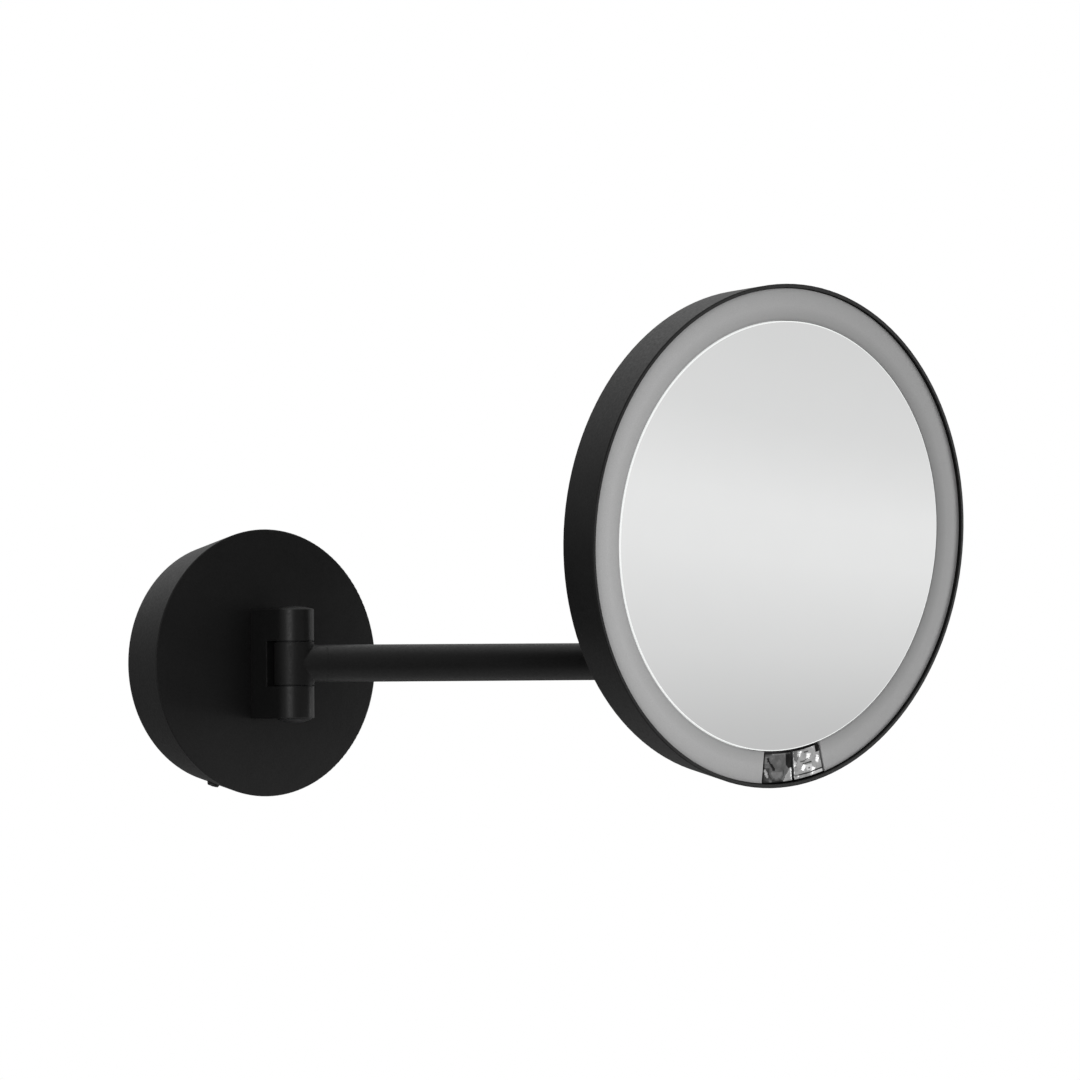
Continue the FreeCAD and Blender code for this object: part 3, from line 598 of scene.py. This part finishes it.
def wramp(stops):
    """Level by height: stops are (sine of elevation, level), from -1 to 1."""
    g = wn("ShaderNodeValToRGB")
    while len(g.color_ramp.elements) < len(stops):
        g.color_ramp.elements.new(0.5)
    for e, (p, v) in zip(g.color_ramp.elements, stops):
        e.position = (p + 1.0) / 2.0
        e.color = (v, v, v, 1.0)
    wt.links.new(wmath("MULTIPLY", wmath("ADD", wz, 1.0), 0.5), g.inputs[0])
    return g.outputs[0]


# left card, right card with its soft gradient, bright wall behind and above
m_a = wmath("MULTIPLY", band(az, -128.0, -58.0, 12.0), band(wz, -0.40, 0.45, 0.15))
m_b = wmath("MULTIPLY", band(az, 28.0, 112.0, 10.0), band(wz, -0.45, 0.32, 0.12))
m_k = wmath("SUBTRACT", 1.0, band(az, -140.0, 124.0, 10.0))
base_lv = wramp([(-1.0, 0.10), (-0.55, 0.15), (-0.25, AMB), (0.25, AMB + 0.05), (0.60, 0.55), (1.0, 0.85)])
a_lv = wmath("MULTIPLY", m_a, PANA)
b_ramp = wramp([(-0.42, 0.60), (-0.30, 0.66), (-0.19, 0.704), (-0.147, 0.742), (-0.105, 0.84), (-0.08, 0.83),
                (-0.03, 0.711), (0.013, 0.563), (0.09, 0.48), (0.30, 0.45)])
k_ramp = wramp([(-1.0, 0.14), (-0.40, 0.17), (-0.05, 0.21), (0.10, 0.22), (0.30, 0.42), (0.60, 1.30)])
b_lv = wmath("MULTIPLY", m_b, wmath("MULTIPLY", b_ramp, PANB))
k_lv = wmath("MULTIPLY", m_k, wmath("MULTIPLY", k_ramp, BACKV))
rest = wmath("SUBTRACT", 1.0, wmath("MAXIMUM", m_a, wmath("MAXIMUM", m_b, m_k)), True)
total = wmath("ADD", wmath("ADD", wmath("ADD", a_lv, b_lv), k_lv), wmath("MULTIPLY", rest, base_lv))
bg = wn("ShaderNodeBackground")
comb = wn("ShaderNodeCombineColor")
for i in range(3):
    wt.links.new(total, comb.inputs[i])
wt.links.new(comb.outputs[0], bg.inputs["Color"])
bg.inputs["Strength"].default_value = 1.0
bg2 = wn("ShaderNodeBackground")
bg2.inputs["Color"].default_value = (1, 1, 1, 1)
bg2.inputs["Strength"].default_value = 1.0
lp = wn("ShaderNodeLightPath")
mx = wn("ShaderNodeMixShader")
wt.links.new(lp.outputs["Is Camera Ray"], mx.inputs[0])
wt.links.new(bg.outputs[0], mx.inputs[1])
wt.links.new(bg2.outputs[0], mx.inputs[2])
wo = wn("ShaderNodeOutputWorld")
wt.links.new(mx.outputs[0], wo.inputs["Surface"])


# ---------------------------------------------------------------- lights
def area(name, loc, target, size, energy, size_y=None):
    ld = bpy.data.lights.new(name, "AREA")
    ld.energy = energy
    ld.size = size
    if size_y:
        ld.shape = "RECTANGLE"
        ld.size_y = size_y
    ob = bpy.data.objects.new(name, ld)
    ob.location = loc
    ob.rotation_mode = "QUATERNION"
    ob.rotation_quaternion = (Vector(target) - Vector(loc)).to_track_quat("-Z", "Y")
    scene.collection.objects.link(ob)
    return ob


area("top_softbox", (0.05, -0.05, 1.3), (0.08, -0.10, 0.0), 1.0, 1.8, 0.8)
area("side_softbox", (1.10, -0.60, -0.03), (0.0, -0.03, 0.0), 0.35, 3.4, 0.45)
area("left_softbox", (-0.85, -0.52, 0.10), (0.159, -0.186, 0.052), 0.4, 2.6, 0.4)

# ---------------------------------------------------------------- camera
cd = bpy.data.cameras.new("camera")
cd.sensor_width = 36.0
cd.sensor_fit = "HORIZONTAL"
cd.lens = 186.42166
cd.clip_start = 0.05
cd.clip_end = 50.0
cam = bpy.data.objects.new("camera", cd)
cam.location = (-1.37676758, -2.00510056, -0.01156876)
cam.rotation_mode = "QUATERNION"
cam.rotation_quaternion = (0.65947269, 0.67885735, -0.22879733, -0.22781628)
scene.collection.objects.link(cam)
scene.camera = cam
